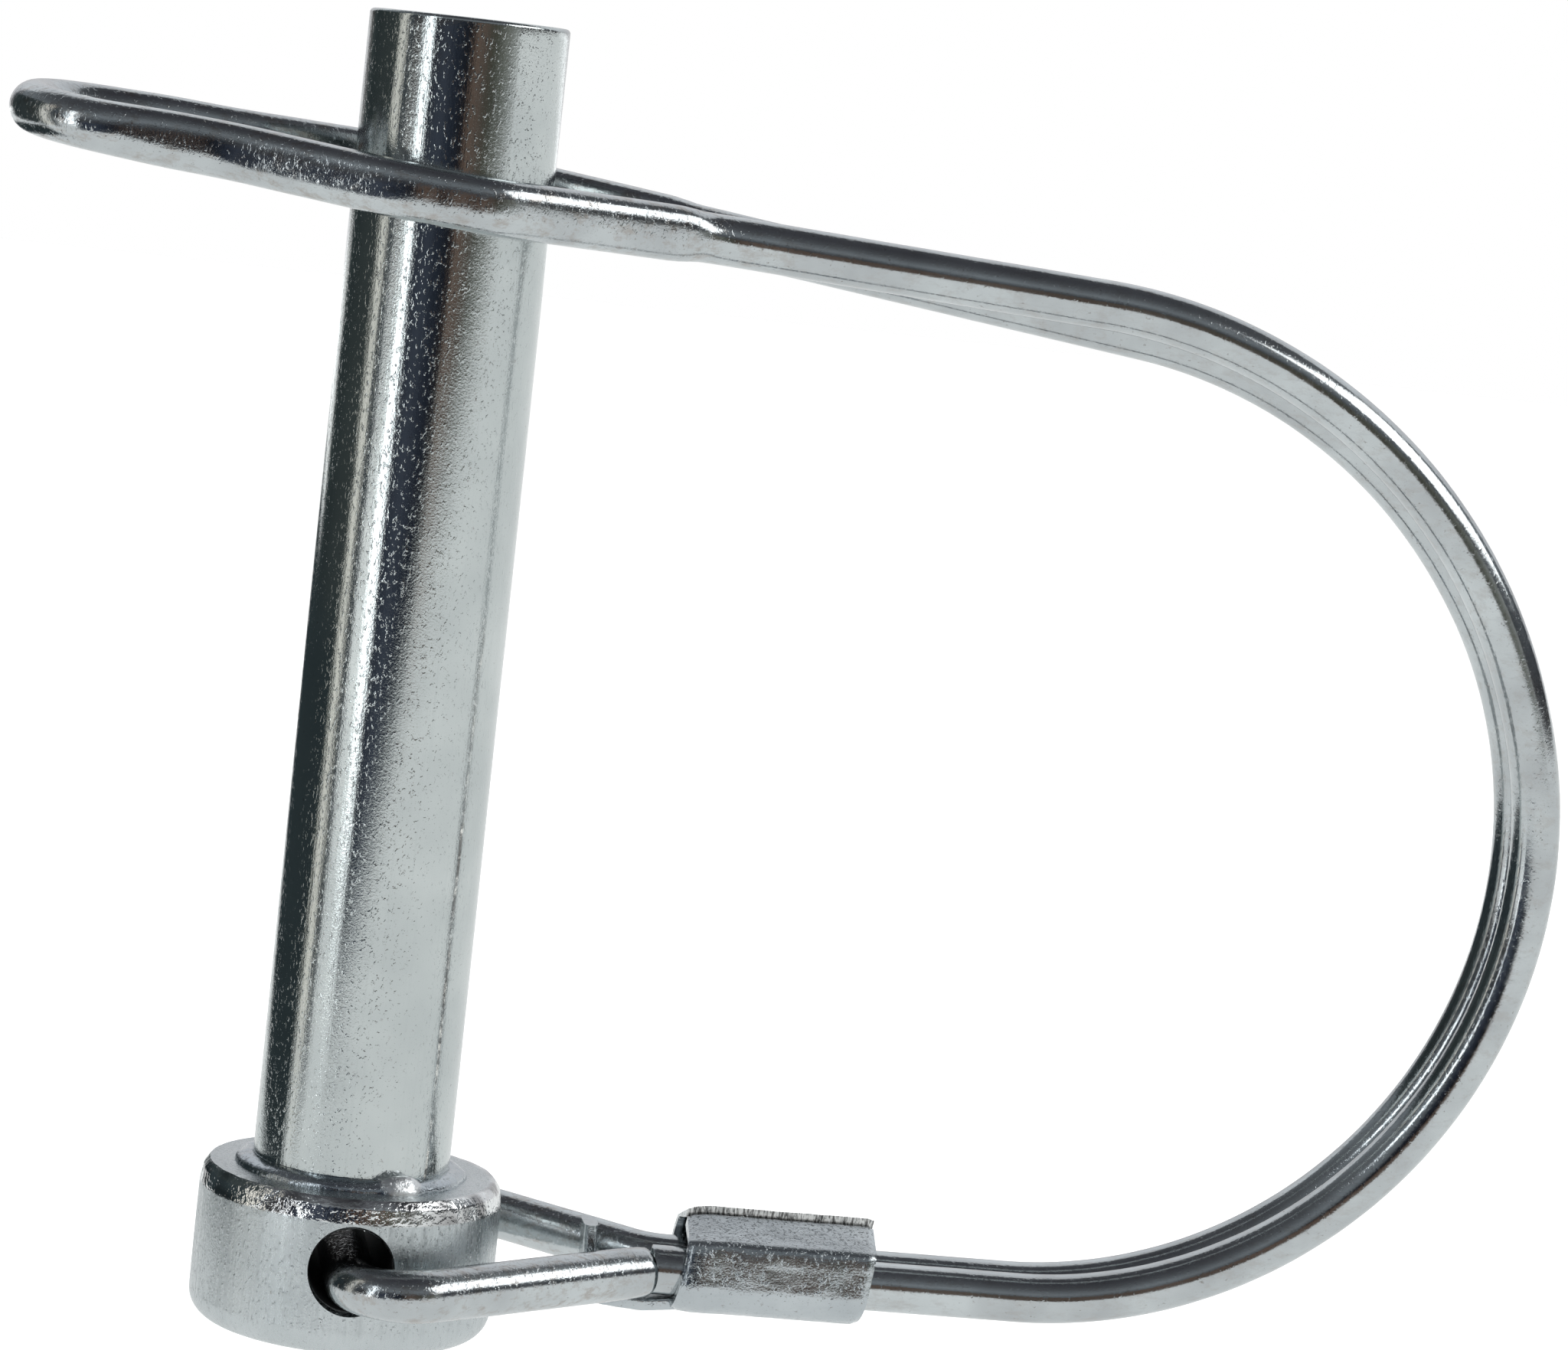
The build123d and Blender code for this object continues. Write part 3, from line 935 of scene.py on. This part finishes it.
def lights():
    """A narrow window on the left, a softbox on the upper right, a pale wall behind, and a soft top light
    that reaches only the floor, so that the metal mirrors a dark ceiling."""
    soft_light("window_left", -51, 10, 0.55, (0.075, 0.55), 2.7, (0.93, 0.97, 1.0))
    soft_light("softbox_right", 70, 34, 0.6, (0.45, 0.26), 2.4)
    soft_light("wall_behind", 162, 27, 0.75, (1.4, 0.9), 0.60, (0.98, 0.98, 1.0))
    data = bpy.data.lights.new("floor_light", "SUN")
    data.energy = 2.2
    data.angle = math.radians(110)
    lamp = bpy.data.objects.new("floor_light", data)
    lamp.rotation_euler = (math.radians(-18), math.radians(-10), 0)
    lamp.visible_glossy = False
    bpy.context.scene.collection.objects.link(lamp)


def mirrored_card(name, corners, stops):
    """A flat card that shows only in the metal, shaded along x by (place, colour) stops in metres."""
    data = bpy.data.meshes.new(name)
    data.from_pydata([tuple(corner) for corner in corners], [], [(0, 1, 2, 3)])
    card = bpy.data.objects.new(name, data)
    bpy.context.scene.collection.objects.link(card)
    nodes = Nodes(name)
    first, last = stops[0][0], stops[-1][0]
    split = nodes.add("ShaderNodeSeparateXYZ")
    nodes.link(nodes.place, split.inputs[0])
    along = nodes.range(split.outputs["X"], first, last, 0.0, 1.0)
    colour = nodes.ramp(along, [((place - first) / (last - first), tint) for place, tint in stops])
    nodes.link(colour, nodes.shader.inputs["Emission Color"])
    nodes.shader.inputs["Emission Strength"].default_value = 1.0
    nodes.shader.inputs["Base Color"].default_value = (0, 0, 0, 1)
    nodes.shader.inputs["Specular IOR Level"].default_value = 0.0
    data.materials.append(nodes.material)
    card.visible_camera = False
    card.visible_shadow = False
    card.visible_diffuse = False


def upright(start, end, low, start_high, end_high):
    """The corners of an upright card over a line on the floor."""
    return [(*start, low), (*end, low), (*end, end_high), (*start, start_high)]


def cards():
    """What the metal mirrors: a pale leaning table, two dark cards past its front edge that run from navy
    through brown to grey, and two dark cards on the left, the farther one with a narrow bright band."""
    slope = math.tan(TABLE_TILT)
    touch_x = HEAD_RADIUS - HEAD_BOTTOM_ROUND * 0.9
    reach = 1.2
    table = []
    for x, y in ((-reach, -reach), (reach, -reach), (reach, reach), (-reach, reach)):
        table.append((x, y, HEAD_BOTTOM - 0.5 * MM + slope * (x - touch_x)))
    mirrored_card("table_card", table, [(-reach, (0.80, 0.82, 0.82)), (reach, (0.94, 0.95, 0.95))])
    navy, blue = (0.020, 0.026, 0.040), (0.055, 0.065, 0.090)
    black, brown = (0.010, 0.010, 0.012), (0.17, 0.115, 0.09)
    near_edge, corner, far_edge = (-0.125, -0.127), (0.027, -0.381), (0.45, -0.312)
    left_room = [(-0.125, navy), (-0.097, blue), (-0.060, navy), (-0.002, black), (0.027, brown)]
    mirrored_card("room_left_card", upright(near_edge, corner, -0.3, 0.055, 0.12), left_room)
    right_room = [(0.027, brown), (0.10, (0.12, 0.09, 0.075)), (0.17, (0.07, 0.07, 0.055))]
    right_room += [(0.28, (0.17, 0.175, 0.155)), (0.45, (0.34, 0.35, 0.34))]
    mirrored_card("room_right_card", upright(corner, far_edge, -0.3, 0.12, 0.16), right_room)
    cream = (1.0, 0.96, 0.88)
    banded = [(-0.22, (0.07, 0.085, 0.085)), (-0.19, (0.03, 0.04, 0.042)), (-0.1600, (0.05, 0.06, 0.06))]
    banded += [(-0.1585, cream), (-0.1555, cream)]
    banded += [(-0.1540, (0.04, 0.05, 0.06)), (-0.15, (0.08, 0.09, 0.10))]
    mirrored_card("left_card", upright((-0.15, -0.06), (-0.22, 0.35), -0.3, 0.16, 0.16), banded)
    dark = [(-0.25, (0.050, 0.065, 0.070)), (0.0, (0.022, 0.032, 0.036))]
    mirrored_card("near_left_card", upright((-0.065, 0.0), (-0.05, 0.30), -0.3, 0.02, 0.02), dark)


shank()
head()
weld()
wire()
clip()
camera()
floor()
room()
lights()
cards()
bpy.context.scene.view_settings.view_transform = "Standard"
